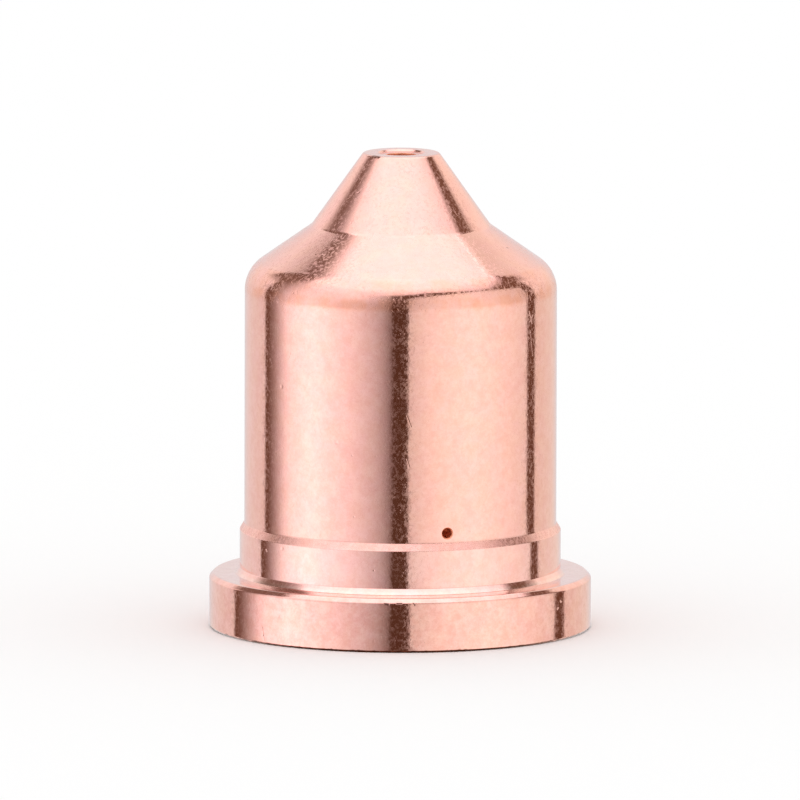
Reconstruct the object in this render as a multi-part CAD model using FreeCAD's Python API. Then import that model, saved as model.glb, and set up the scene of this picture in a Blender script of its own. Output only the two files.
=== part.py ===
import FreeCAD
import Part
import math
import os

# Nozzle of a plasma cutting torch: one piece turned from copper bar.
# Millimetres and degrees. The base face lies on z = 0, the torch axis is the
# Z axis and the arc leaves through the orifice at the top. The front is -Y.
# Cone angles are half angles, measured from the axis.

# Arc chamber: the electrode stands in it with a ring of gas round it.
ELECTRODE_DIAMETER = 7.8
GAS_GAP = 1.6
CHAMBER_EDGE_CHAMFER = 0.15
CHAMBER_CORNER_ROUND = 1.0
CHAMBER_FLOOR_WIDTH = 0.7
CHAMBER_FLOOR_ROUND = 0.4

# Seat in the base: the swirl ring goes in and stops on its shoulder.
SEAT_SHOULDER_WIDTH = 0.7
SEAT_DEPTH = 4.0
SEAT_CORNER_ROUND = 0.1
SEAT_MOUTH_CHAMFER = 0.3

# Orifice that narrows the arc, between its entry cone and its exit countersink.
# The countersink has a shallow floor and a 45 degree lip.
ORIFICE_DIAMETER = 1.4
ENTRY_WIDTH = 0.8
ENTRY_ANGLE = 42.0
ENTRY_THROAT_ROUND = 0.3
EXIT_FLOOR_WIDTH = 0.32
EXIT_FLOOR_DROP = 0.04
EXIT_LIP = 0.08

# Nose: flat tip, steep upper cone, neck, blunt lower cone and round shoulder.
OVERALL_HEIGHT = 22.0
TIP_BLOCK_LENGTH = 4.35
TIP_RIM_WIDTH = 0.65
TIP_EDGE_ROUND = 0.18
UPPER_CONE_LENGTH = 3.35
UPPER_CONE_ANGLE = 35.3
NECK_ROUND = 0.5
LOWER_CONE_ANGLE = 55.0
SHOULDER_RADIUS = 1.7

# Hub above the flange, with a 45 degree cone and a fillet at its root and a
# sloped step down to the body.
HUB_WALL = 1.2
HUB_LENGTH = 2.0
HUB_ROOT_CONE = 0.27
HUB_ROOT_FILLET = 0.3
STEP_WIDTH = 0.21
STEP_ANGLE = 31.0

# Flange that the retaining cap clamps.
FLANGE_WIDTH = 1.4
FLANGE_THICKNESS = 2.5
FLANGE_EDGE_CHAMFER = 0.2
BASE_EDGE_CHAMFER = 0.1

# Vent hole drilled through the body wall just above the step.
VENT_DIAMETER = 0.45
VENT_GAP_ABOVE_STEP = 0.2
VENT_ANGLE_FROM_FRONT = 17.5
VENT_MOUTH_CHAMFER = 0.05


def cone_height(width, angle):
    """Height over which a cone changes its radius by a width."""
    return width / math.tan(math.radians(angle))


def cone_width(height, angle):
    """Change of radius of a cone over a height."""
    return height * math.tan(math.radians(angle))


# Radii, from the electrode out and from the orifice out.
chamber_radius = ELECTRODE_DIAMETER / 2 + GAS_GAP
seat_radius = chamber_radius + SEAT_SHOULDER_WIDTH
hub_radius = seat_radius + HUB_WALL
body_radius = hub_radius - STEP_WIDTH
flange_radius = hub_radius + FLANGE_WIDTH
orifice_radius = ORIFICE_DIAMETER / 2
entry_radius = orifice_radius + ENTRY_WIDTH
floor_radius = entry_radius + CHAMBER_FLOOR_WIDTH
exit_floor_radius = orifice_radius + EXIT_FLOOR_WIDTH
exit_radius = exit_floor_radius + EXIT_LIP
tip_radius = exit_radius + TIP_RIM_WIDTH
neck_radius = tip_radius + cone_width(UPPER_CONE_LENGTH, UPPER_CONE_ANGLE)
vent_radius = VENT_DIAMETER / 2

# Heights, from the base up and from the tip down. The chamber's cone runs
# parallel to the lower cone outside it.
root_height = FLANGE_THICKNESS + HUB_ROOT_CONE
hub_height = FLANGE_THICKNESS + HUB_LENGTH
step_height = hub_height + cone_height(STEP_WIDTH, STEP_ANGLE)
vent_height = step_height + VENT_GAP_ABOVE_STEP + vent_radius
neck_height = OVERALL_HEIGHT - UPPER_CONE_LENGTH
shoulder_height = neck_height - cone_height(body_radius - neck_radius, LOWER_CONE_ANGLE)
floor_height = OVERALL_HEIGHT - TIP_BLOCK_LENGTH
chamber_height = floor_height - cone_height(chamber_radius - floor_radius, LOWER_CONE_ANGLE)
throat_height = floor_height + cone_height(ENTRY_WIDTH, ENTRY_ANGLE)
exit_floor_height = OVERALL_HEIGHT - EXIT_LIP

# Corners of the half section as (radius, height, rounding), up the outside.
outside = [
    (flange_radius - BASE_EDGE_CHAMFER, 0, 0),
    (flange_radius, BASE_EDGE_CHAMFER, 0),
    (flange_radius, FLANGE_THICKNESS - FLANGE_EDGE_CHAMFER, 0),
    (flange_radius - FLANGE_EDGE_CHAMFER, FLANGE_THICKNESS, 0),
    (hub_radius + HUB_ROOT_CONE, FLANGE_THICKNESS, HUB_ROOT_FILLET),
    (hub_radius, root_height, 0),
    (hub_radius, hub_height, 0),
    (body_radius, step_height, 0),
    (body_radius, shoulder_height, SHOULDER_RADIUS),
    (neck_radius, neck_height, NECK_ROUND),
    (tip_radius, OVERALL_HEIGHT, TIP_EDGE_ROUND),
]

# Then from the tip face down through the orifice, the chamber and the seat.
inside = [
    (exit_radius, OVERALL_HEIGHT, 0),
    (exit_floor_radius, exit_floor_height, 0),
    (orifice_radius, exit_floor_height - EXIT_FLOOR_DROP, 0),
    (orifice_radius, throat_height, ENTRY_THROAT_ROUND),
    (entry_radius, floor_height, 0),
    (floor_radius, floor_height, CHAMBER_FLOOR_ROUND),
    (chamber_radius, chamber_height, CHAMBER_CORNER_ROUND),
    (chamber_radius, SEAT_DEPTH + CHAMBER_EDGE_CHAMFER, 0),
    (chamber_radius + CHAMBER_EDGE_CHAMFER, SEAT_DEPTH, 0),
    (seat_radius, SEAT_DEPTH, SEAT_CORNER_ROUND),
    (seat_radius, SEAT_MOUTH_CHAMFER, 0),
    (seat_radius + SEAT_MOUTH_CHAMFER, 0, 0),
]


def rounded_corner(before, corner, after, rounding):
    """Start, middle and end of the arc that rounds the corner between two lines."""
    to_before = (before - corner).normalize()
    to_after = (after - corner).normalize()
    inward = (to_before + to_after).normalize()
    half_angle = to_before.getAngle(to_after) / 2
    reach = rounding / math.tan(half_angle)
    depth = rounding / math.sin(half_angle) - rounding
    return corner + to_before * reach, corner + inward * depth, corner + to_after * reach


def half_section(corners):
    """Closed face in the XZ plane through the corners, each with its rounding."""
    points = [FreeCAD.Vector(radius, 0, height) for radius, height, rounding in corners]
    bends = []
    for index, point in enumerate(points):
        rounding = corners[index][2]
        following = points[(index + 1) % len(points)]
        bends.append(rounded_corner(points[index - 1], point, following, rounding))
    edges = []
    for index, (start, middle, end) in enumerate(bends):
        edges.append(Part.makeLine(bends[index - 1][2], start))
        if corners[index][2] > 0:
            edges.append(Part.Arc(start, middle, end).toShape())
    return Part.Face(Part.Wire(edges))


def vent_drill():
    """Drill that opens the vent from the chamber outward, and its mouth chamfer."""
    angle = math.radians(VENT_ANGLE_FROM_FRONT)
    outward = FreeCAD.Vector(math.sin(angle), -math.cos(angle), 0)
    axis_point = FreeCAD.Vector(0, 0, vent_height)
    inner_end = axis_point + outward * (chamber_radius - vent_radius)
    chamfer_start = axis_point + outward * (body_radius - VENT_MOUTH_CHAMFER)
    length = body_radius - chamber_radius + VENT_DIAMETER
    flare = VENT_MOUTH_CHAMFER * 2
    hole = Part.makeCylinder(vent_radius, length, inner_end, outward)
    chamfer = Part.makeCone(vent_radius, vent_radius + flare, flare, chamfer_start, outward)
    return hole.fuse(chamfer)


section = half_section(outside + inside)
turned = section.revolve(FreeCAD.Vector(0, 0, 0), FreeCAD.Vector(0, 0, 1), 360)
nozzle = turned.cut(vent_drill())

os.makedirs("parts", exist_ok=True)
nozzle.Solids[0].exportStep("parts/nozzle.step")
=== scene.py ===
import math

import bpy
import numpy as np
from bpy.props import FloatProperty, FloatVectorProperty, PointerProperty
from mathutils import Matrix, Vector


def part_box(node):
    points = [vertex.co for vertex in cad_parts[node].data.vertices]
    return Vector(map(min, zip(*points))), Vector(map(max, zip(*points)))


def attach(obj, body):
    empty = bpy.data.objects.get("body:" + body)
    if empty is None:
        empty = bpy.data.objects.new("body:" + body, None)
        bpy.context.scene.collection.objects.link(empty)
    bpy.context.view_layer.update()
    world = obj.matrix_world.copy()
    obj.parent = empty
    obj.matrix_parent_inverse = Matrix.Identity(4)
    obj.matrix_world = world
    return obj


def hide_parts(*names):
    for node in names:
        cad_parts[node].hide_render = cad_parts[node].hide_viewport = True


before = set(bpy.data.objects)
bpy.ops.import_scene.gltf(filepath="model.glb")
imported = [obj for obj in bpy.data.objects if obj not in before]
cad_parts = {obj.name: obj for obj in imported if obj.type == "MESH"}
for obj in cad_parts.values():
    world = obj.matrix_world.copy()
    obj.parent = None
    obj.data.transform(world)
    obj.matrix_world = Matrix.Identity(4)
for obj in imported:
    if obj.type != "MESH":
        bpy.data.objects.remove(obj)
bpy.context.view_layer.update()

bl_info = {
    "name": "Plasma torch nozzle",
    "version": (1, 0, 0),
    "blender": (4, 5, 0),
    "location": "3D View > Sidebar > Nozzle",
    "description": "Makes a turned copper plasma torch nozzle and the studio it stands in",
    "category": "Object",
}

MM = 0.001

# The mesh: the columns round the axis, how close a row lies to a rounded edge to keep the face
# beside it flat, and the rounding of edges that have no property of their own.
COLUMNS = 360
SNUG = 0.03 * MM
EDGE_ROUND = 0.02 * MM

# The vent's patch: its cells each way, half its height, how close a ring lies to an edge, the
# rings along the drilled hole, how round the ring beside the square is, and how many rings of
# faces from the outside are polished.
PATCH_CELLS = 8
VENT_PATCH_HALF = 0.36 * MM
VENT_SNUG = 0.014 * MM
VENT_RINGS = 9
VENT_BLEND = 0.45
VENT_MOUTH_RINGS = 3

# Which of the piece's materials a face takes.
POLISHED, BORED = 0, 1

# Heights in millimetres between which the copper's look gives way to the next one.
FLANGE_TO_HUB = (2.35, 2.6)
HUB_TO_BODY = (4.45, 4.6)
BODY_TO_NOSE = (15.3, 16.3)
CALMER_NOSE = (15.5, 17.5)
TIP_FACE = (21.94, 21.98)

# Bands of height in millimetres: where each one starts, is first full, is last full and ends.
FACED_BAND = (2.46, 2.49, 2.58, 2.68)
SLOPE_BAND = (4.48, 4.54, 4.80, 4.86)
SHOULDER_BAND = (15.45, 15.75, 15.95, 16.35)
SHOULDER_MARGIN = (15.45, 15.75, 16.86, 16.98)
SCRATCHED_BAND = (15.2, 15.7, 16.7, 17.1)

# The radii in millimetres between which the base face ends and its worn edge starts.
BASE_TO_EDGE = (8.4, 8.6)

# Where a noise of the grain starts to count and where it counts in full.
NOISE_SPAN = (0.3, 0.7)
SPECK_SPAN = (0.40, 0.66)

# The light tent: a ball round the nozzle that only reflections see. Here and in its parts,
# azimuth runs from the front towards the right and elevation up from the horizon, in degrees,
# and a pair is where an edge starts and where it ends.
TENT_RADIUS = 3.0
TENT_ACROSS = 720
TENT_UP = 360
TENT_FOOT = (-60, -25)

# The overhead lamp's lower edge, as pairs of azimuth and elevation, and how far the edge is
# blurred to both sides, as pairs of azimuth and degrees.
TOP_LAMP_EDGE = [(-180, 48), (-155, 52), (-140, 58), (-126, 58), (-114, 55), (-90, 44),
                 (-36, 39.5), (0, 40), (12, 43.5), (24, 46.5), (48, 45), (72, 40), (84, 38.5),
                 (96, 42), (108, 45.5), (126, 49), (138, 51), (144, 51), (152, 46), (180, 48)]
TOP_LAMP_BLUR = [(-180, 4), (-140, 7), (-110, 4), (-90, 3), (60, 2.5), (84, 4), (110, 4),
                 (128, 1.5), (150, 1.5), (180, 4)]

# The floor, and the camera's sensor and how near and far it sees.
FLOOR_RADIUS = 6.0
FLOOR_CORNERS = 64
SENSOR_WIDTH = 36
NEAREST, FARTHEST = 0.1, 20

# Dents and scratches: azimuth in degrees, radius and height in millimetres of the first point,
# the same of the last one, half the width and the depth. From NICK_DEPTH on they get painted shade.
NICK_DEPTH = 0.01
STRUCK_MARKS = [
    (69.0, 5.30, 17.86, 71.5, 5.22, 17.80, 0.07, 0.008),
    (67.6, 5.26, 17.88, 68.4, 5.29, 17.85, 0.055, 0.012),
    (-42.6, 7.06, 16.23, -42.2, 7.08, 16.14, 0.10, 0.005),
    (-46.5, 5.44, 17.72, -46.0, 5.44, 17.70, 0.06, 0.007),
    (-42.1, 5.33, 17.80, -41.6, 5.33, 17.78, 0.06, 0.007),
    (-42.4, 2.88, 20.45, -43.0, 2.88, 20.40, 0.06, 0.007),
    (-89.5, 4.40, 18.47, -88.0, 4.36, 18.46, 0.05, 0.012),
    (-47.0, 1.70, 21.95, -37.0, 1.73, 21.93, 0.16, 0.011),
    (57.0, 8.80, 1.85, 57.3, 8.80, 1.80, 0.06, 0.008),
    (55.6, 8.80, 1.55, 55.3, 8.80, 1.50, 0.06, 0.008),
    (-46.0, 8.80, 0.80, -45.2, 8.80, 0.20, 0.05, 0.003),
    (-4.6, 8.80, 2.28, -3.4, 8.80, 2.26, 0.06, 0.012),
    (3.9, 8.80, 2.34, 4.3, 8.80, 2.22, 0.05, 0.010),
    (-1.0, 8.80, 2.29, 0.6, 8.80, 2.30, 0.05, 0.012),
    (2.4, 7.19, 10.75, 3.9, 7.19, 10.25, 0.04, 0.0012),
    (39.0, 7.19, 14.50, 41.5, 7.19, 13.30, 0.05, 0.0012),
    (55.8, 7.19, 14.30, 57.5, 7.19, 13.10, 0.035, 0.0015),
    (55.0, 7.19, 15.20, 57.0, 7.19, 14.60, 0.03, 0.003),
    (57.6, 7.19, 15.00, 55.6, 7.19, 14.70, 0.03, 0.003),
    (2.4, 7.19, 8.75, 3.3, 7.19, 8.40, 0.035, 0.0012),
    (-56.4, 7.40, 4.10, -56.0, 7.40, 4.02, 0.06, 0.006),
    (-41.0, 7.14, 15.95, -39.0, 7.14, 15.90, 0.05, 0.004),
]


def length(name, description, millimetres):
    """A length that the user can change, written here in millimetres."""
    return FloatProperty(name=name, description=description, default=millimetres * MM,
                         min=0.0, precision=5, unit="LENGTH")


def angle(name, description, degrees):
    """An angle that the user can change, written here in degrees."""
    return FloatProperty(name=name, description=description, default=math.radians(degrees),
                         subtype="ANGLE")


def share(name, description, value, top=1.0):
    """A plain number from 0 to top."""
    return FloatProperty(name=name, description=description, default=value, min=0.0, max=top)


def colour(name, description, value):
    """A linear colour."""
    return FloatVectorProperty(name=name, description=description, default=value, size=3,
                               subtype="COLOR", min=0.0, max=1.0)


class NozzleShape(bpy.types.PropertyGroup):
    """Sizes of the turned copper piece."""
    flange_radius: length("Flange radius", "Outer radius of the flange", 8.8)
    flange_thickness: length("Flange thickness", "Height of the flange's top face", 2.5)
    flange_chamfer: length("Flange chamfer", "Chamfer on the flange's upper edge", 0.2)
    chamfer_round: length("Chamfer edge", "Rounding on both of its edges", 0.12)
    base_chamfer: length("Base chamfer", "Chamfer on the flange's lower edge", 0.1)
    hub_radius: length("Hub radius", "Outer radius of the hub above the flange", 7.4)
    hub_height: length("Hub height", "Height of the hub's upper edge", 4.5)
    root_cone: length("Root cone", "Width of the cone at the hub's foot", 0.22)
    root_rise: length("Root rise", "Height of the cone at the hub's foot", 0.27)
    soft_edge: length("Soft edges", "Rounding on the hub's edges and the base chamfer's", 0.05)
    hub_fillet: length("Hub fillet", "Fillet between the flange and the root cone", 0.06)
    body_radius: length("Body radius", "Outer radius of the body", 7.19)
    step_height: length("Step height", "Height where the hub's slope ends", 4.8495)
    step_round: length("Step round", "Rounding where the hub's slope ends", 0.14)
    shoulder_height: length("Shoulder corner", "Height of the shoulder's sharp corner", 16.5017)
    shoulder_round: length("Shoulder round", "Radius between the body and the lower cone", 1.7)
    neck_radius: length("Neck radius", "Radius where the two cones meet", 4.1219)
    neck_height: length("Neck height", "Height where the two cones meet", 18.65)
    neck_round: length("Neck round", "Radius between the two cones", 0.5)
    tip_radius: length("Tip radius", "Radius of the tip's sharp edge", 1.75)
    tip_round: length("Tip round", "Radius on the tip's rim", 0.18)
    height: length("Height", "Overall height",
                   (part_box("nozzle")[1][2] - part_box("nozzle")[0][2]) / MM)
    exit_radius: length("Exit radius", "Radius of the orifice's countersink", 1.1)
    exit_lip: length("Exit lip", "Width and depth of the countersink's steep rim", 0.08)
    exit_depth: length("Exit depth", "Depth of the orifice's countersink", 0.12)
    orifice_radius: length("Orifice radius", "Radius of the arc orifice", 0.7)
    throat_height: length("Throat height", "Height where the orifice opens into its entry", 18.5385)
    throat_round: length("Throat round", "Radius between the orifice and its entry", 0.3)
    entry_radius: length("Entry radius", "Radius of the entry at the floor", 1.5)
    floor_radius: length("Chamber floor radius", "Radius of the chamber's flat floor", 2.2)
    floor_height: length("Chamber floor height", "Height of the chamber's flat floor", 17.65)
    floor_round: length("Chamber floor round", "Radius between the floor and its cone", 0.4)
    chamber_radius: length("Chamber radius", "Radius of the electrode chamber", 5.5)
    chamber_height: length("Chamber corner", "Height of the chamber's sharp corner", 15.3393)
    chamber_round: length("Chamber round", "Radius of the chamber's corner", 1.0)
    chamber_chamfer: length("Chamber chamfer", "Chamfer at the chamber's lower edge", 0.15)
    seat_radius: length("Seat radius", "Radius of the swirl ring's seat", 6.2)
    seat_depth: length("Seat depth", "Depth of the swirl ring's seat", 4.0)
    seat_round: length("Seat corner", "Radius in the seat's corner", 0.1)
    seat_chamfer: length("Seat chamfer", "Chamfer at the seat's mouth", 0.3)
    vent_radius: length("Vent radius", "Radius of the drilled vent", 0.225)
    vent_chamfer: length("Vent chamfer", "Chamfer on the vent's mouth", 0.05)
    vent_height: length("Vent height", "Height of the vent's axis", 5.2745)
    vent_azimuth: angle("Vent azimuth", "Angle of the vent from the front, towards the right", 17.5)


class CopperFinish(bpy.types.PropertyGroup):
    """Colours and grain of the copper."""
    body_tint: colour("Body tint", "Colour of the body and the nose", (0.972, 0.547, 0.492))
    hub_tint: colour("Hub tint", "Colour of the hub, the pinkest part", (0.993, 0.580, 0.537))
    flange_tint: colour("Flange tint", "Colour of the flange, the warmest part",
                        (0.966, 0.549, 0.493))
    # Painted highlight: the turned faces take a paler tint than the rest, so that they look
    # brighter.
    faced_highlight_tint: colour("Faced tint", "Colour of the flange's and the tip's turned faces",
                       (0.97, 0.64, 0.59))
    shoulder_tint: colour("Shoulder tint", "Colour of the band where the shoulder starts",
                          (0.955, 0.47, 0.375))
    # Painted shade: the bores, the seat and the vent take a darker, redder tint than the outside.
    bore_shade_tint: colour("Bore tint", "Colour of the bored inside", (0.94, 0.43, 0.27))
    # Painted shade: this dark brown darkens the deep nicks and the flange's lower edge in the
    # colour.
    painted_shade: colour("Dirt", "Colour of worn edges and deep nicks", (0.11, 0.038, 0.02))
    pink_cloud: colour("Pink cloud", "What the pink clouds take from the tint", (1.0, 0.975, 0.99))
    warm_cloud: colour("Warm cloud", "What the warm clouds take from the tint", (1.0, 1.0, 0.965))
    shade: colour("Shade", "What the darker grain takes from the tint", (0.93, 0.85, 0.82))
    flange_shade: colour("Flange shade", "What the darker grain takes from the flange's tint",
                         (0.90, 0.78, 0.75))
    polish: share("Polish", "Roughness of the polished outside", 0.065)
    slope_dullness: share("Slope dullness", "Roughness that the sloped step adds", 0.20)
    bore_roughness: share("Bore roughness", "Roughness of the bored inside", 0.38)
    grain_depth: share("Grain depth", "Height of the tumbled mottle, in millimetres", 0.0010)
    waviness: share("Waviness", "Height of the broad waves under the grain, in millimetres", 0.004)
    speck_dullness: share("Speck dullness", "Roughness that the dull specks add", 0.115)
    hair_dullness: share("Hair dullness", "Roughness that the hairlines add", 0.12)
    hair_depth: share("Hair depth", "Depth of the hairlines, in millimetres", 0.0012)
    # How much of that painted shade the deep nicks and the flange's lower edge take.
    nick_darkness: share("Nick darkness", "Share of dirt in worn edges and deep nicks", 0.8)


class Studio(bpy.types.PropertyGroup):
    """Where the camera stands and how bright the tent is."""
    camera_distance: length("Camera distance", "From the camera to the nozzle's axis", 1500)
    camera_elevation: angle("Camera elevation", "Height of the camera above the horizon", 8.0)
    camera_roll: angle("Camera roll", "Turn of the picture, clockwise", 0.15)
    frame_width: length("Frame width", "Width that the picture shows at the axis", 36.86)
    aim_height: length("Aim height", "Height on the axis that the camera points at", 10.488)
    aim_side: length("Aim side", "How far left of the axis the camera points", 0.0274)
    room: colour("Room", "Light of the dim room between the panels", (0.098, 0.052, 0.031))
    left_haze: colour("Left haze", "Light that the room gains with height on the left",
                      (0.09, 0.10, 0.10))
    right_haze: colour("Right haze", "Light that the room gains with height on the right",
                       (0.055, 0.05, 0.042))
    left_light: colour("Left light", "Colour of the left panel's light", (0.98, 0.99, 0.99))
    left_brightness: share("Left brightness", "Brightness of the left panel's middle", 1.72, 4)
    right_light: colour("Right light", "Colour of the right panel's light", (0.965, 1.0, 0.935))
    right_brightness: share("Right brightness", "Brightness of the right panel's middle",
                            1.375, 4)
    cloth_light: colour("Cloth light", "Colour of the cloth's light", (0.975, 1.0, 0.97))
    cloth_brightness: share("Cloth brightness", "Brightness of the cloth behind", 0.885, 4)
    top_light: colour("Top light", "Colour of the overhead lamp's light", (1.0, 1.0, 1.0))
    top_brightness: share("Top brightness", "Brightness of the overhead lamp", 1.0, 4)


def unit(vectors):
    """Each row divided by its length, and a row of no length left at nought."""
    size = np.linalg.norm(vectors, axis=-1, keepdims=True)
    return np.divide(vectors, size, out=np.zeros_like(vectors), where=size > 1e-9)


def rounded_outline(corners):
    """A closed outline of (radius, height) points through rounded corners, and each one's finish.
    Each row of corners is radius, height, rounding, arc steps, run steps and the finish from
    there on. A corner of angle a is cut back on both sides by rounding / tan(a / 2), and the
    first cut is turned about the arc's centre by the outline's change of direction. A straight
    run follows each arc, and its first and last rows lie snug beside the arcs that it joins."""
    point, rounding = corners[:, :2], corners[:, 2]
    back = unit(np.roll(point, 1, axis=0) - point)
    ahead = unit(np.roll(point, -1, axis=0) - point)
    half = np.arccos(np.clip((back * ahead).sum(axis=1), -1, 1)) / 2
    centre = point + unit(back + ahead) * (rounding / np.sin(half))[:, None]
    first = point + back * (rounding / np.tan(half))[:, None]
    last = point + ahead * (rounding / np.tan(half))[:, None]
    turn = (np.pi - 2 * half) * np.sign(back[:, 1] * ahead[:, 0] - back[:, 0] * ahead[:, 1])
    rows, finish = [], []
    for i, (arc_steps, run_steps, kind) in enumerate(corners[:, 3:].astype(int)):
        after = (i + 1) % len(corners)
        sweep = turn[i] * np.linspace(0, 1, arc_steps + 1)[:, None]
        spoke = first[i] - centre[i]
        across = np.array([-spoke[1], spoke[0]])
        rows.append(centre[i] + spoke * np.cos(sweep) + across * np.sin(sweep))
        run = last[i], first[after]
        reach = np.linalg.norm(run[1] - run[0])
        snug = min(SNUG, reach / 4) / reach
        ends = snug * (rounding[i] > 0), 1 - snug * (rounding[after] > 0)
        along = np.linspace(*ends, run_steps + 1)
        along = along[(along > 0) & (along < 1)][:, None]
        rows.append(run[0] + (run[1] - run[0]) * along)
        finish.append(np.full(arc_steps + 1 + len(along), kind))
    return np.concatenate(rows), np.concatenate(finish)


def nozzle_corners(s):
    """The corners of half the nozzle's section, up the outside and back down through the bores,
    as rounded_outline takes them.
    Corners with no rounding mark the rows that the vent's patch stands between."""
    patch_low = s.vent_height - VENT_PATCH_HALF
    patch_high = s.vent_height + VENT_PATCH_HALF
    e = EDGE_ROUND
    return np.array([
        (s.flange_radius - s.base_chamfer, 0, s.soft_edge, 3, 1, POLISHED),
        (s.flange_radius, s.base_chamfer, s.soft_edge, 3, 5, POLISHED),
        (s.flange_radius, s.flange_thickness - s.flange_chamfer, s.chamfer_round, 4, 2, POLISHED),
        (s.flange_radius - s.flange_chamfer, s.flange_thickness, s.chamfer_round, 4, 4, POLISHED),
        (s.hub_radius + s.root_cone, s.flange_thickness, s.hub_fillet, 5, 3, POLISHED),
        (s.hub_radius, s.flange_thickness + s.root_rise, s.soft_edge, 4, 4, POLISHED),
        (s.hub_radius, s.hub_height, s.soft_edge, 4, 2, POLISHED),
        (s.body_radius, s.step_height, s.step_round, 5, 1, POLISHED),
        (s.body_radius, patch_low, 0, 0, PATCH_CELLS, POLISHED),
        (s.body_radius, patch_high, 0, 0, 10, POLISHED),
        (s.body_radius, s.shoulder_height, s.shoulder_round, 24, 5, POLISHED),
        (s.neck_radius, s.neck_height, s.neck_round, 10, 6, POLISHED),
        (s.tip_radius, s.height, s.tip_round, 7, 3, POLISHED),
        (s.exit_radius, s.height, e, 2, 2, POLISHED),
        (s.exit_radius - s.exit_lip, s.height - s.exit_lip, e, 2, 3, POLISHED),
        (s.orifice_radius, s.height - s.exit_depth, e, 2, 5, BORED),
        (s.orifice_radius, s.throat_height, s.throat_round, 5, 2, BORED),
        (s.entry_radius, s.floor_height, e, 2, 1, BORED),
        (s.floor_radius, s.floor_height, s.floor_round, 6, 5, BORED),
        (s.chamber_radius, s.chamber_height, s.chamber_round, 9, 7, BORED),
        (s.chamber_radius, patch_high, 0, 0, PATCH_CELLS, BORED),
        (s.chamber_radius, patch_low, 0, 0, 2, BORED),
        (s.chamber_radius, s.seat_depth + s.chamber_chamfer, e, 2, 1, BORED),
        (s.chamber_radius + s.chamber_chamfer, s.seat_depth, e, 2, 2, BORED),
        (s.seat_radius, s.seat_depth, s.seat_round, 5, 4, BORED),
        (s.seat_radius, s.seat_chamfer, e, 2, 2, BORED),
        (s.seat_radius + s.seat_chamfer, 0, e, 2, 4, POLISHED),
    ])


def vent_rings(s, square_across, square_up):
    """Rings of points that lead from the square hole in the outer wall's grid, through the
    vent, to the square hole in the chamber wall's grid.
    A ring is a blend of the square and a circle, and lies on a wall of radius R at a depth of
    the square root of R squared less the sideways distance squared. In the drilled hole the
    depth changes evenly from one wall to the other."""
    count = len(square_across)
    around = np.radians(-135) + 2 * np.pi * np.arange(count) / count
    mouth = s.vent_radius + s.vent_chamfer

    def on_wall(radius, blend, size, inset=0.0):
        across = square_across * (1 - blend) + size * np.cos(around) * blend
        up = square_up * (1 - blend) + size * np.sin(around) * blend
        return np.stack([across, up, np.sqrt(radius ** 2 - across ** 2) - inset], axis=1)

    chamfer_end = on_wall(s.body_radius, 1, s.vent_radius, s.vent_chamfer)
    inner_edge = on_wall(s.chamber_radius, 1, s.vent_radius)
    drop = np.linspace(0, 1, VENT_RINGS)[:, None, None]
    drilled = chamfer_end * (1 - drop) + inner_edge * drop
    return np.concatenate([
        on_wall(s.body_radius, VENT_BLEND, mouth)[None],
        on_wall(s.body_radius, 1, mouth + 2 * VENT_SNUG)[None],
        on_wall(s.body_radius, 1, mouth + VENT_SNUG / 3)[None],
        on_wall(s.body_radius, 1, mouth - VENT_SNUG / 3, VENT_SNUG / 3)[None],
        drilled,
        on_wall(s.chamber_radius, 1, s.vent_radius + 2 * VENT_SNUG)[None],
        on_wall(s.chamber_radius, VENT_BLEND, s.vent_radius)[None],
    ])


def quads(below, above):
    """Faces between rows of point numbers and the rows above them, which close on themselves."""
    return np.stack([below, np.roll(below, -1, axis=1), np.roll(above, -1, axis=1), above], axis=2)


def rim(block):
    """The border of a square array, as one row round from its first corner."""
    return np.concatenate([block[0, :-1], block[:-1, -1], block[-1, :0:-1], block[:0:-1, 0]])


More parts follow.
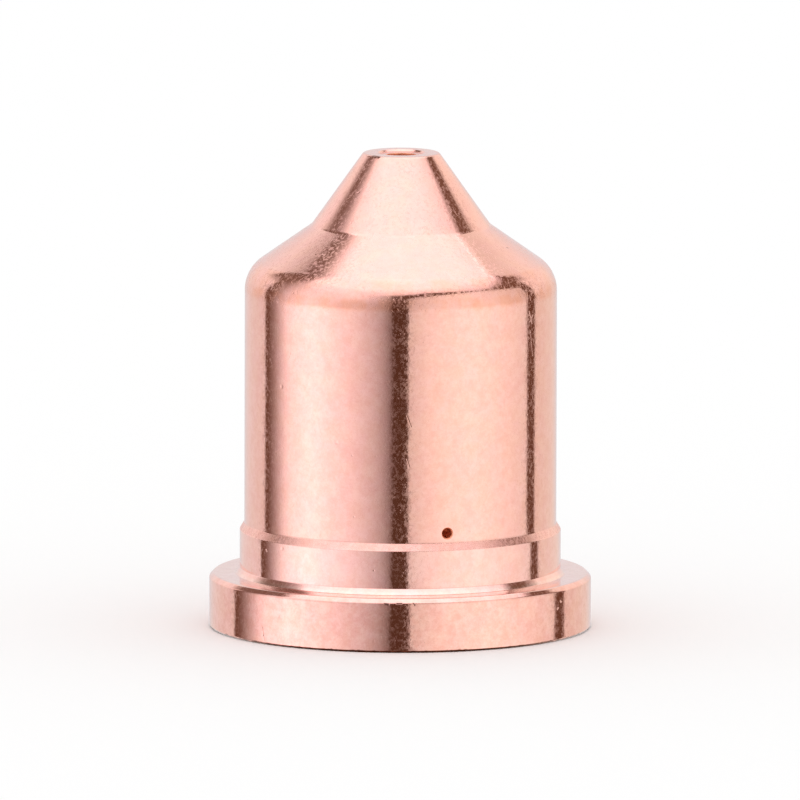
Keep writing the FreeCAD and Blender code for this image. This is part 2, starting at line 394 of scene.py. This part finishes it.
def nozzle_surface(s):
    """Points and faces of the nozzle.
    The outline is turned about Z: the point of row i and column j is (r sin a, -r cos a, z),
    where a grows by an even step from column to column and the vent's azimuth is the middle
    one. Rows and columns both close on themselves. At the vent, a square of cells is left out
    of the outer wall and of the chamber wall, and rings of points join the two squares. A
    ring's point (across, up, out) stands at across along the tangent, up along Z and out along
    the vent's axis."""
    outline, finish = rounded_outline(nozzle_corners(s))
    rows = len(outline)
    step = 2 * np.pi / COLUMNS
    turn = s.vent_azimuth + (np.arange(COLUMNS) - COLUMNS // 2) * step
    radius, height = outline[:, :1], outline[:, 1:]
    grid = np.stack([radius * np.sin(turn), -radius * np.cos(turn),
                     np.broadcast_to(height, (rows, COLUMNS))], axis=2)
    index = np.arange(rows * COLUMNS).reshape(rows, COLUMNS)
    faces = quads(index, np.roll(index, -1, axis=0))

    first_column = COLUMNS // 2 - PATCH_CELLS // 2
    columns = slice(first_column, first_column + PATCH_CELLS + 1)
    patch_low = s.vent_height - VENT_PATCH_HALF

    def wall_row(wall_radius, level):
        on_wall = np.abs(outline[:, 0] - wall_radius) < EDGE_ROUND / 10
        return np.argmin(np.where(on_wall, np.abs(outline[:, 1] - level), np.inf))

    outer_start = wall_row(s.body_radius, patch_low)
    inner_start = wall_row(s.chamber_radius, patch_low + 2 * VENT_PATCH_HALF)
    keep = np.ones((rows, COLUMNS), bool)
    squares = []
    for start, flip in ((outer_start, 1), (inner_start, -1)):
        keep[start:start + PATCH_CELLS, first_column:first_column + PATCH_CELLS] = False
        squares.append(rim(index[start:start + PATCH_CELLS + 1, columns][::flip]))

    steps = np.linspace(-1, 1, PATCH_CELLS + 1)
    across, rise = np.meshgrid(steps, steps)
    span = s.body_radius * np.sin(rim(across) * step * PATCH_CELLS / 2)
    rings = vent_rings(s, span, rim(rise) * VENT_PATCH_HALF)
    tangent = np.array([math.cos(s.vent_azimuth), math.sin(s.vent_azimuth), 0])
    outward = np.array([math.sin(s.vent_azimuth), -math.cos(s.vent_azimuth), 0])
    level = np.array([0, 0, s.vent_height])
    drilled = (rings[..., :1] * tangent + rings[..., 1:2] * np.array([0, 0, 1])
               + rings[..., 2:] * outward + level)
    ring_index = rows * COLUMNS + np.arange(rings[..., 0].size).reshape(rings.shape[:2])
    ring_index = np.concatenate([squares[0][None], ring_index, squares[1][None]])
    ring_faces = quads(ring_index[:-1], ring_index[1:])

    points = np.concatenate([grid.reshape(-1, 3), drilled.reshape(-1, 3)])
    faces = np.concatenate([faces[keep], ring_faces.reshape(-1, 4)])
    used, faces = np.unique(faces, return_inverse=True)
    ring_finish = np.where(np.arange(len(ring_faces)) < VENT_MOUTH_RINGS, POLISHED, BORED)
    finish = np.concatenate([np.broadcast_to(finish[:, None], keep.shape)[keep],
                             np.repeat(ring_finish, rings.shape[1])])
    return points[used], faces.reshape(-1, 4), finish


def mesh_object(name, points, faces, *materials, finish=None):
    """A smooth-shaded object from arrays of points and faces, and of each face's material."""
    mesh = bpy.data.meshes.new(name)
    mesh.from_pydata(points.tolist(), [], faces.tolist())
    mesh.shade_smooth()
    for material in materials:
        mesh.materials.append(material)
    if finish is not None:
        mesh.polygons.foreach_set("material_index", finish.astype(np.int32))
    piece = bpy.data.objects.new(name, mesh)
    bpy.context.scene.collection.objects.link(piece)
    return piece


def add(tree, kind, *inputs, **settings):
    """A node with its inputs set in order: sockets linked, values written and None left."""
    node = tree.nodes.new(kind)
    for name, value in settings.items():
        setattr(node, name, value)
    for socket, value in zip([s for s in node.inputs if s.enabled], inputs):
        if isinstance(value, bpy.types.NodeSocket):
            tree.links.new(value, socket)
        elif value is not None:
            socket.default_value = value
    return node


def group(name, vectors, numbers, outputs):
    """An empty shader node group: (tree, inputs, outputs). Its inputs are the vectors and then
    the numbers, and its outputs are numbers."""
    tree = bpy.data.node_groups.new(name, "ShaderNodeTree")
    for labels, way, kind in ((vectors, "INPUT", "Vector"), (numbers, "INPUT", "Float"),
                              (outputs, "OUTPUT", "Float")):
        for label in labels:
            tree.interface.new_socket(label, in_out=way, socket_type="NodeSocket" + kind)
    start, end = tree.nodes.new("NodeGroupInput"), tree.nodes.new("NodeGroupOutput")
    return tree, start.outputs, end.inputs


def noise(tree, point, size, detail, roughness=0.5):
    """The value of a noise whose cells are about size wide, near 0.5 with a spread of 0.15."""
    return add(tree, "ShaderNodeTexNoise", point, 1 / size, detail, roughness,
               noise_dimensions="3D").outputs["Fac"]


def stretched(tree, point, width, reach, tilt=(0, 0, 0)):
    """The point, squeezed so that a noise on it is width wide and reach long, along a Z that is
    tilted by degrees."""
    turn = [math.radians(degrees) for degrees in tilt]
    return add(tree, "ShaderNodeMapping", point, None, turn, (width, width, reach),
               vector_type="TEXTURE").outputs[0]


def spread(tree, value, low, high, to_low=0.0, to_high=1.0, smooth=True):
    """value carried from low..high to to_low..to_high, and held at both ends."""
    node = add(tree, "ShaderNodeMapRange", value, low, high, to_low, to_high,
               interpolation_type="SMOOTHSTEP" if smooth else "LINEAR")
    return node.outputs[0]


def mathed(tree, operation, *values):
    """The result of a Math node."""
    return add(tree, "ShaderNodeMath", *values, operation=operation).outputs[0]


def plus(tree, *values):
    """The sum of two values."""
    return mathed(tree, "ADD", *values)


def times(tree, *values):
    """The product of two values."""
    return mathed(tree, "MULTIPLY", *values)


def band(tree, height, start, full, last, end, most=1.0):
    """A mask that rises from start to full, up to most, and falls from last to end."""
    return times(tree, spread(tree, height, start, full, 0.0, most),
                 spread(tree, height, end, last))


def from_axis(tree, point):
    """A point's distance from the axis, and its height."""
    axes = add(tree, "ShaderNodeSeparateXYZ", point).outputs
    flat = add(tree, "ShaderNodeCombineXYZ", axes["X"], axes["Y"], 0.0).outputs[0]
    return add(tree, "ShaderNodeVectorMath", flat, operation="LENGTH").outputs["Value"], axes["Z"]


def tumbled_grain():
    """Group: the mottle of tumbled copper, as a height in millimetres and masks of duller
    specks, soft clouds and lighter grain. The height is a fine noise times Depth and a broad
    one times Waves. The specks are stronger in some patches than in others."""
    tree, start, end = group("tumbled grain", ["Point"], ["Depth", "Waves"],
                             ["Height", "Specks", "Clouds", "Shade"])
    point = start["Point"]
    fine = noise(tree, stretched(tree, point, width=0.11, reach=0.14), size=1.0, detail=1.5)
    broad = noise(tree, point, size=0.7, detail=1.5, roughness=0.4)
    tree.links.new(plus(tree, times(tree, fine, start["Depth"]),
                        times(tree, broad, start["Waves"])), end["Height"])
    specks = noise(tree, stretched(tree, point, width=0.14, reach=0.17, tilt=(0, 8, 0)),
                   size=1.0, detail=2.0, roughness=0.6)
    patches = spread(tree, noise(tree, point, size=1.1, detail=1.0), *NOISE_SPAN, 0.8, 1.2)
    tree.links.new(times(tree, spread(tree, specks, *SPECK_SPAN), patches), end["Specks"])
    clouds = noise(tree, point, size=0.9, detail=2.0, roughness=0.6)
    tree.links.new(spread(tree, clouds, *NOISE_SPAN), end["Clouds"])
    shade = noise(tree, point, size=0.55, detail=4.0, roughness=0.85)
    tree.links.new(spread(tree, shade, *NOISE_SPAN), end["Shade"])
    return tree


def hair_marks():
    """Group: short steep hairlines in two directions, as a mask. They stand where a long narrow
    noise passes Cut, and are full a little above it."""
    tree, start, end = group("hair marks", ["Point"], ["Cut"], ["Marks"])
    tilts, full_above = ((18, 24, 0), (-22, -20, 0)), 0.07
    marks = []
    for tilt in tilts:
        hairs = noise(tree, stretched(tree, start["Point"], width=0.065, reach=0.5, tilt=tilt),
                      size=1.0, detail=0.5)
        marks.append(spread(tree, hairs, start["Cut"], plus(tree, start["Cut"], full_above)))
    tree.links.new(mathed(tree, "MAXIMUM", *marks), end["Marks"])
    return tree


def small_dents():
    """Group: shallow round dents, few and far between, as a height in millimetres. A dent is a
    bowl in the middle of a cell, and its radius is a share of the cell by chance."""
    tree, start, end = group("small dents", ["Point"], ["Apart", "Depth"], ["Height"])
    chance_span, radii = (0.4, 1.0), (0.05, 0.13)
    cells = add(tree, "ShaderNodeTexVoronoi", feature="F1", voronoi_dimensions="3D")
    tree.links.new(start["Point"], cells.inputs["Vector"])
    tree.links.new(mathed(tree, "DIVIDE", 1.0, start["Apart"]), cells.inputs["Scale"])
    chance = add(tree, "ShaderNodeSeparateColor", cells.outputs["Color"])
    radius = spread(tree, chance.outputs["Red"], *chance_span, *radii, smooth=False)
    from_middle = mathed(tree, "DIVIDE", cells.outputs["Distance"], radius)
    bowl = spread(tree, mathed(tree, "SUBTRACT", 1.0, from_middle), 0.0, 1.0)
    tree.links.new(times(tree, bowl, times(tree, start["Depth"], -1.0)), end["Height"])
    return tree


def struck_mark():
    """Group: one dent or scratch from a first point to a last, all in millimetres, as a height
    and a mask. Its section is a smooth bowl over the distance to the line between the points,
    whose nearest point is the first plus the line times offset . line / line . line."""
    tree, start, end = group("struck mark", ["Point", "First", "Last"], ["Half width", "Depth"],
                             ["Height", "Mask"])

    def vector(operation, *values, output="Vector"):
        return add(tree, "ShaderNodeVectorMath", *values, operation=operation).outputs[output]

    line = vector("SUBTRACT", start["Last"], start["First"])
    offset = vector("SUBTRACT", start["Point"], start["First"])
    along = mathed(tree, "DIVIDE", vector("DOT_PRODUCT", offset, line, output="Value"),
                   vector("DOT_PRODUCT", line, line, output="Value"))
    nearest = vector("SCALE", line, spread(tree, along, 0.0, 1.0, smooth=False))
    gap = vector("DISTANCE", offset, nearest, output="Value")
    mask = spread(tree, mathed(tree, "DIVIDE", gap, start["Half width"]), 1.0, 0.0)
    tree.links.new(mask, end["Mask"])
    tree.links.new(times(tree, mask, times(tree, start["Depth"], -1.0)), end["Height"])
    return tree


def shaded_edges():
    """Group: painted shade along the lower edge of the flange, up to an uneven height, as a
    mask. The height is Reach and a noise that swings to both sides of it. The base face inside
    the edge stays unshaded."""
    tree, start, end = group("worn edges", ["Point"], ["Reach"], ["Mask"])
    swing, edge = 0.26, (-0.02, 0.05)
    radius, height = from_axis(tree, start["Point"])
    uneven = times(tree, noise(tree, start["Point"], size=0.35, detail=3.0, roughness=0.65), swing)
    reach = mathed(tree, "SUBTRACT", plus(tree, start["Reach"], uneven), swing / 2)
    below = spread(tree, mathed(tree, "SUBTRACT", reach, height), *edge)
    tree.links.new(times(tree, below, spread(tree, radius, *BASE_TO_EDGE)), end["Mask"])
    return tree


def turning_rings():
    """Group: the fine grooves that a tool leaves round the axis, as a height in millimetres.
    They follow height less 0.7 of the radius, which changes along every turned face."""
    tree, start, end = group("turning rings", ["Point"], ["Pitch", "Depth"], ["Height"])
    slant, scale, detail = 0.7, 1.0, 2.0
    radius, height = from_axis(tree, start["Point"])
    along = mathed(tree, "SUBTRACT", height, times(tree, radius, slant))
    rings = add(tree, "ShaderNodeTexNoise", mathed(tree, "DIVIDE", along, start["Pitch"]), scale,
                detail, noise_dimensions="1D").outputs["Fac"]
    tree.links.new(times(tree, rings, start["Depth"]), end["Height"])
    return tree


def place(tree, effect, *inputs):
    """The outputs of a node group in a material, with its inputs set in order."""
    return add(tree, "ShaderNodeGroup", *inputs, node_tree=effect).outputs


def metal(name):
    """A new material with a bare metal shader: (material, tree, shader, point in millimetres)."""
    material = bpy.data.materials.new(name)
    material.use_nodes = True
    tree = material.node_tree
    shader = tree.nodes["Principled BSDF"]
    shader.inputs["Metallic"].default_value = 1.0
    where = tree.nodes.new("ShaderNodeTexCoord").outputs["Object"]
    point = add(tree, "ShaderNodeVectorMath", where, 1 / MM, operation="SCALE").outputs[0]
    return material, tree, shader, point


def raised(tree, height):
    """A normal from a height in millimetres."""
    node = tree.nodes.new("ShaderNodeBump")
    node.inputs["Strength"].default_value = 1.0
    node.inputs["Distance"].default_value = MM
    tree.links.new(height, node.inputs["Height"])
    return node.outputs["Normal"]


def blended(tree, factor, low, high, way="MIX"):
    """A colour between two, each a socket or a linear colour."""
    low, high = [x if isinstance(x, bpy.types.NodeSocket) else (*x, 1) for x in (low, high)]
    node = add(tree, "ShaderNodeMix", factor, low, high, data_type="RGBA", blend_type=way)
    return [x for x in node.outputs if x.enabled][0]


def struck(tree, effect, point, relief):
    """The marks of the table laid over a relief: (relief, mask of the deep nicks)."""
    nicks = None
    for *ends, half_width, depth in STRUCK_MARKS:
        degrees, radius, height = np.array(ends).reshape(2, 3).T
        around = np.radians(degrees)
        first, last = np.stack([radius * np.sin(around), -radius * np.cos(around), height], axis=1)
        mark = place(tree, effect, point, first, last, half_width, depth)
        relief = plus(tree, relief, mark["Height"])
        if depth >= NICK_DEPTH:
            nicks = mark["Mask"] if nicks is None else mathed(tree, "MAXIMUM", nicks, mark["Mask"])
    return relief, nicks


def tinted(tree, look, grain, level):
    """The copper's colour by the height in millimetres.
    The flange, the hub and the body have a tint each, the turned faces of the flange and the
    tip a paler one that is a painted highlight, and the start of the shoulder a browner one,
    most of it in warm clouds.
    Over them lie the clouds and the darker grain, which is calmer on the nose."""
    tip_share, margin_share, calmest, middle, warm_span = 0.4, 0.5, 0.5, 0.5, (-0.2, 0.8)
    tint = blended(tree, spread(tree, level, *FLANGE_TO_HUB), look.flange_tint, look.hub_tint)
    tint = blended(tree, spread(tree, level, *HUB_TO_BODY), tint, look.body_tint)
    # The turned faces' paler tint is a painted highlight.
    faced = mathed(tree, "MAXIMUM", band(tree, level, *FACED_BAND),
                   spread(tree, level, *TIP_FACE, 0.0, tip_share))
    tint = blended(tree, faced, tint, look.faced_highlight_tint)
    shoulder = mathed(tree, "MAXIMUM", band(tree, level, *SHOULDER_BAND),
                      band(tree, level, *SHOULDER_MARGIN, margin_share))
    warm = spread(tree, grain["Clouds"], *warm_span, smooth=False)
    tint = blended(tree, times(tree, shoulder, warm), tint, look.shoulder_tint)
    clouds = blended(tree, grain["Clouds"], look.pink_cloud, look.warm_cloud)
    darker = blended(tree, spread(tree, level, *FLANGE_TO_HUB), look.flange_shade, look.shade)
    swing = times(tree, mathed(tree, "SUBTRACT", grain["Shade"], middle),
                  spread(tree, level, *CALMER_NOSE, 1.0, calmest))
    shade = blended(tree, plus(tree, swing, middle), darker, (1.0, 1.0, 1.0))
    return blended(tree, 1.0, tint, blended(tree, 1.0, clouds, shade, "MULTIPLY"), "MULTIPLY")


def polished_copper(look, effects):
    """Tumbled and polished copper: the outside. Specks, hairlines and the sloped step are
    duller than the rest, the grain is deeper and duller on the nose, hairlines are denser on
    the shoulder, and painted shade darkens the flange's lower edge and the deep nicks."""
    material, tree, shader, point = metal("copper_polished")
    deeper, duller, hair_cut, more_hairs = 1.4, 2.0, 0.78, 0.1
    dent_apart, dent_depth, shaded_reach = 1.3, 0.006, 0.10
    level = add(tree, "ShaderNodeSeparateXYZ", point).outputs["Z"]
    depth = times(tree, spread(tree, level, *BODY_TO_NOSE, 1.0, deeper), look.grain_depth)
    grain = place(tree, effects["grain"], point, depth, look.waviness)
    lower = times(tree, band(tree, level, *SCRATCHED_BAND), more_hairs)
    cut = mathed(tree, "SUBTRACT", hair_cut, lower)
    hairs = place(tree, effects["hairs"], point, cut)["Marks"]
    dents = place(tree, effects["dents"], point, dent_apart, dent_depth)["Height"]

    nose = spread(tree, level, *BODY_TO_NOSE, 1.0, duller)
    specks = times(tree, grain["Specks"], times(tree, nose, look.speck_dullness))
    dull = plus(tree, specks, times(tree, hairs, look.hair_dullness))
    slope = band(tree, level, *SLOPE_BAND)
    dull = plus(tree, dull, times(tree, slope, look.slope_dullness))
    tree.links.new(plus(tree, dull, look.polish), shader.inputs["Roughness"])

    relief = plus(tree, grain["Height"], dents)
    relief = mathed(tree, "SUBTRACT", relief, times(tree, hairs, look.hair_depth))
    relief, nicks = struck(tree, effects["struck"], point, relief)
    tree.links.new(raised(tree, relief), shader.inputs["Normal"])

    # Painted shade: the flange's lower edge and the deep nicks are darkened in the colour.
    shaded = place(tree, effects["shaded"], point, shaded_reach)["Mask"]
    shade_share = times(tree, mathed(tree, "MAXIMUM", nicks, shaded), look.nick_darkness)
    tree.links.new(blended(tree, shade_share, tinted(tree, look, grain, level), look.painted_shade),
                   shader.inputs["Base Color"])
    return material


def bored_copper(look, effects):
    """Copper as the boring bar leaves it, duller and ringed: the bores, the seat and the vent.
    Its darker, redder tint is painted shade.
    """
    material, tree, shader, point = metal("copper_bored")
    grain = place(tree, effects["grain"], point, look.grain_depth, look.waviness)
    pitch, depth = 0.09, 0.003
    rings = place(tree, effects["rings"], point, pitch, depth)
    # The darker, redder tint is painted shade of the bores.
    shader.inputs["Base Color"].default_value = (*look.bore_shade_tint, 1)
    dull = times(tree, grain["Specks"], look.speck_dullness)
    tree.links.new(plus(tree, dull, look.bore_roughness), shader.inputs["Roughness"])
    tree.links.new(raised(tree, plus(tree, grain["Height"], rings["Height"])),
                   shader.inputs["Normal"])
    return material


def ramp(x, start, end):
    """Nought before start and one past end, joined by 3t squared less 2t cubed."""
    t = np.clip((x - start) / (end - start), 0, 1)
    return t * t * (3 - 2 * t)


def fade(x, start, end):
    """One before start and nought past end, joined in the same way."""
    return ramp(-x, -end, -start)


def waist(elevation):
    """Where both panels are dimmer: one above the horizon and below the overhead lamp."""
    low, high = (-9, 0), (37, 44)
    return ramp(elevation, *low) * fade(elevation, *high)


def left_panel(studio, azimuth, elevation):
    """Brightness, colour and cover of the left panel.
    It falls off evenly to both sides of its middle, and fades softly at its outer edge and by
    an exponential towards the slot beside the camera. Nearer to the slot it brightens with
    height, up into the overhead lamp."""
    middle, reach, most = -70, 92, 1.65
    outer_edge, slot_edge = (-118.8, -88.0), (-6.7, -5.7)
    slot, slot_loss, slot_reach = -6.3, 0.72, 6.5
    rise, rise_up, rise_across = 0.4, (8, 40), (-66, -30)
    dip, dip_across = 0.22, (-60, 0)
    brightness = studio.left_brightness * (1 - np.abs(azimuth - middle) / reach)
    brightness = np.minimum(brightness, most) * (1 + rise * ramp(elevation, *rise_up)
                                                 * ramp(azimuth, *rise_across))
    brightness = brightness * (1 - dip * waist(elevation) * fade(azimuth, *dip_across))
    towards_slot = 1 - slot_loss * np.exp(np.minimum(azimuth - slot, 0) / slot_reach)
    cover = ramp(azimuth, *outer_edge) * towards_slot * fade(azimuth, *slot_edge)
    return brightness, studio.left_light, cover


def right_panel(studio, azimuth, elevation):
    """Brightness, colour and cover of the right panel.
    From its middle it falls off by the square of the angle towards the slot, and evenly away
    from it. Its edges are crisp, and its straight top edge stands at arctan(0.8 cos) of the
    angle from where it is highest."""
    middle, slot_reach, outer_reach = 57, 83.5, 170
    slot_edge, outer_edge = (5.2, 6.0), (106.8, 108.8)
    top_rise, top_middle, top_blur = 0.8, 50, 0.7
    dip = 0.13
    from_middle = azimuth - middle
    loss = np.where(from_middle < 0, (from_middle / slot_reach) ** 2, from_middle / outer_reach)
    brightness = studio.right_brightness * (1 - loss) * (1 - dip * waist(elevation))
    top = np.degrees(np.arctan(top_rise * np.cos(np.radians(azimuth - top_middle))))
    cover = (ramp(azimuth, *slot_edge) * fade(azimuth, *outer_edge)
             * ramp(top - elevation, -top_blur, top_blur))
    return brightness, studio.right_light, cover


def cloth(studio, azimuth, elevation):
    """Brightness, colour and cover of the cloth that hangs behind.
    It brightens a little above the horizon and dims with height, is dimmer and bluer straight
    behind and warmer on the right, and its soft top edge is highest at the back. Its edges and
    its loss with height differ between the left and the right."""
    side, left = np.abs(azimuth), azimuth < 0
    back, rise, rise_up = (150, 172), 0.22, (-8, 20)
    back_dip, back_lift, back_up = 0.1, 0.08, (-6, 6)
    loss, loss_up = np.where(left, 0.3, 0.17), (26, 46)
    behind = ramp(side, *back)
    brightness = studio.cloth_brightness * (1 + rise * ramp(elevation, *rise_up) * (1 - behind))
    brightness = brightness * (1 - (back_dip - back_lift * ramp(elevation, *back_up)) * behind)
    brightness = brightness * (1 - loss * ramp(elevation, *loss_up))

    warm_from, warmer, bluer = (90, 120), np.array([0.03, 0.01, -0.055]), np.array([0, 0, 0.05])
    warm = ramp(azimuth, *warm_from) * fade(azimuth, *back)
    tint = np.array(studio.cloth_light) * (1 + warm[..., None] * warmer
                                           + behind[..., None] * bluer)

    edge, edge_blur = np.where(azimuth > 0, 118.0, 119.8), 0.8
    top_rise, top_blur = 65, (-5, 6)
    left_top = 28 + top_rise * ramp(side, 138, 154)
    right_top = 33 + top_rise * ramp(side, 128, 146)
    top = np.where(left, left_top, right_top)
    cover = ramp(side, edge - edge_blur, edge + edge_blur) * ramp(top - elevation, *top_blur)
    return brightness, tint, cover


def overhead_lamp(studio, azimuth, elevation):
    """Brightness, colour and cover of the overhead lamp.
    It brightens upwards and leftwards, and a bright line edges it at the right back."""
    lowest, most = 1.12, 1.64
    line, line_above, line_width, line_across = 0.6, 0.5, 1.2, (122, 132)
    lower_edge = np.interp(azimuth, *zip(*TOP_LAMP_EDGE))
    blur = np.interp(azimuth, *zip(*TOP_LAMP_BLUR))
    with_height = 0.5 * ramp(elevation, 40, 65)
    leftwards = 0.15 * fade(azimuth, -60, 0)
    overhead = 0.12 * ramp(elevation, 75, 84)
    brightness = np.minimum(lowest + with_height + leftwards, most) + overhead
    from_line = (elevation - lower_edge - line_above) / line_width
    brightness = (brightness * studio.top_brightness
                  + line * np.exp(-from_line ** 2) * ramp(azimuth, *line_across))
    return brightness, studio.top_light, ramp(elevation, lower_edge - blur, lower_edge + blur)


def tent_light(studio, azimuth, elevation):
    """The tent's light by direction, in degrees, as red, green and blue.
    The room is dim, brighter to the sides and hazier with height. Over it lie, in this order,
    the left panel, the right panel, the cloth and the overhead lamp, and far below the horizon
    they all fade into the room."""
    brighter, sideways, haze_up = 0.5, (20, 80), (4, 32)
    room = np.array(studio.room) * (1 + brighter * ramp(np.abs(azimuth), *sideways))[..., None]
    haze = np.where(azimuth[..., None] < 0, studio.left_haze, studio.right_haze)
    light = room + haze * ramp(elevation, *haze_up)[..., None]
    for part in (left_panel, right_panel, cloth, overhead_lamp):
        brightness, tint, cover = part(studio, azimuth, elevation)
        cover = cover * ramp(elevation, *TENT_FOOT)
        light = light + cover[..., None] * (brightness[..., None] * np.array(tint) - light)
    return light


def tent_surface():
    """A ball, facing inwards: the point at azimuth a and elevation e is
    (cos e sin a, -cos e cos a, sin e) times the tent's radius."""
    azimuth, elevation = np.meshgrid(np.linspace(-180, 180, TENT_ACROSS + 1),
                                     np.linspace(-90, 90, TENT_UP + 1))
    a, e = np.radians(azimuth), np.radians(elevation)
    points = TENT_RADIUS * np.stack([np.cos(e) * np.sin(a), -np.cos(e) * np.cos(a), np.sin(e)],
                                    axis=2)
    index = np.arange(azimuth.size).reshape(azimuth.shape)
    faces = np.stack([index[:-1, :-1], index[1:, :-1], index[1:, 1:], index[:-1, 1:]], axis=2)
    return points.reshape(-1, 3), faces.reshape(-1, 4), azimuth, elevation


class NOZZLE_OT_copper_piece(bpy.types.Operator):
    """Make the turned copper piece with its bores and its drilled vent"""
    bl_idname = "nozzle.copper_piece"
    bl_label = "Copper piece"

    def execute(self, context):
        points, faces, finish = nozzle_surface(context.scene.nozzle_shape)
        look = context.scene.copper_finish
        effects = {"grain": tumbled_grain(), "hairs": hair_marks(), "dents": small_dents(),
                   "struck": struck_mark(), "shaded": shaded_edges(), "rings": turning_rings()}
        piece = mesh_object("nozzle_turned", points, faces,
                            polished_copper(look, effects), bored_copper(look, effects),
                            finish=finish)
        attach(piece, "root")
        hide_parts("nozzle")
        return {"FINISHED"}


class NOZZLE_OT_studio(bpy.types.Operator):
    """Set up the floor, the light tent, the world and the camera"""
    bl_idname = "nozzle.studio"
    bl_label = "Studio"

    def execute(self, context):
        scene, studio = context.scene, context.scene.studio
        scene.view_settings.view_transform = "Standard"

        world = bpy.data.worlds.new("white_world")
        world.use_nodes = True
        world.node_tree.nodes["Background"].inputs["Color"].default_value = (1, 1, 1, 1)
        scene.world = world

        floor_paint = bpy.data.materials.new("floor_white")
        floor_paint.use_nodes = True
        tree = floor_paint.node_tree
        tree.nodes.remove(tree.nodes["Principled BSDF"])
        white = add(tree, "ShaderNodeBsdfDiffuse", (1, 1, 1, 1))
        clear = add(tree, "ShaderNodeBsdfTransparent")
        below = add(tree, "ShaderNodeNewGeometry")
        both = add(tree, "ShaderNodeMixShader", below.outputs["Backfacing"],
                   white.outputs[0], clear.outputs[0])
        tree.links.new(both.outputs[0], tree.nodes["Material Output"].inputs["Surface"])
        corners = np.arange(FLOOR_CORNERS)
        around = np.radians(corners * 360 / FLOOR_CORNERS)
        rim = FLOOR_RADIUS * np.stack([np.cos(around), np.sin(around), 0 * around], axis=1)
        floor = mesh_object("floor", rim, corners[None, :], floor_paint)
        floor.visible_glossy = False

        glow = bpy.data.materials.new("tent_glow")
        glow.use_nodes = True
        tree = glow.node_tree
        tree.nodes.remove(tree.nodes["Principled BSDF"])
        painted = add(tree, "ShaderNodeAttribute", attribute_name="light")
        lamp = add(tree, "ShaderNodeEmission", painted.outputs["Color"], 1.0)
        tree.links.new(lamp.outputs[0], tree.nodes["Material Output"].inputs["Surface"])
        glow.cycles.emission_sampling = "NONE"
        points, faces, azimuth, elevation = tent_surface()
        tent = mesh_object("light_tent", points, faces, glow)
        light = tent_light(studio, azimuth, elevation).reshape(-1, 3)
        painted = tent.data.attributes.new("light", "FLOAT_VECTOR", "POINT")
        painted.data.foreach_set("vector", light.ravel())
        tent.visible_camera = tent.visible_diffuse = tent.visible_shadow = False
        tent.visible_transmission = tent.visible_volume_scatter = False

        camera = bpy.data.objects.new("camera", bpy.data.cameras.new("camera"))
        scene.collection.objects.link(camera)
        lift = studio.camera_elevation
        back = Vector((0, -math.cos(lift), math.sin(lift)))
        aim = Vector((-studio.aim_side, 0, studio.aim_height))
        camera.data.sensor_width = SENSOR_WIDTH
        camera.data.lens = SENSOR_WIDTH * studio.camera_distance / studio.frame_width
        camera.data.clip_start, camera.data.clip_end = NEAREST, FARTHEST
        facing = back.to_track_quat("Z", "Y").to_matrix().to_4x4()
        camera.matrix_world = (Matrix.Translation(aim + back * studio.camera_distance)
                               @ facing @ Matrix.Rotation(studio.camera_roll, 4, "Z"))
        scene.camera = camera
        return {"FINISHED"}


class NOZZLE_PT_sidebar(bpy.types.Panel):
    """The nozzle's pieces and its studio"""
    bl_idname = "NOZZLE_PT_sidebar"
    bl_label = "Nozzle"
    bl_space_type = "VIEW_3D"
    bl_region_type = "UI"
    bl_category = "Nozzle"

    def draw(self, context):
        for operator in (NOZZLE_OT_copper_piece, NOZZLE_OT_studio):
            self.layout.operator(operator.bl_idname)
        scene = context.scene
        for settings in (scene.nozzle_shape, scene.copper_finish, scene.studio):
            box = self.layout.box()
            for name in settings.__annotations__:
                box.prop(settings, name)


CLASSES = (NozzleShape, CopperFinish, Studio, NOZZLE_OT_copper_piece, NOZZLE_OT_studio,
           NOZZLE_PT_sidebar)


def register():
    for cls in CLASSES:
        bpy.utils.register_class(cls)
    bpy.types.Scene.nozzle_shape = PointerProperty(type=NozzleShape)
    bpy.types.Scene.copper_finish = PointerProperty(type=CopperFinish)
    bpy.types.Scene.studio = PointerProperty(type=Studio)


def unregister():
    del bpy.types.Scene.studio
    del bpy.types.Scene.copper_finish
    del bpy.types.Scene.nozzle_shape
    for cls in reversed(CLASSES):
        bpy.utils.unregister_class(cls)


def main():
    register()
    bpy.ops.nozzle.copper_piece()
    bpy.ops.nozzle.studio()


if __name__ == "__main__":
    main()
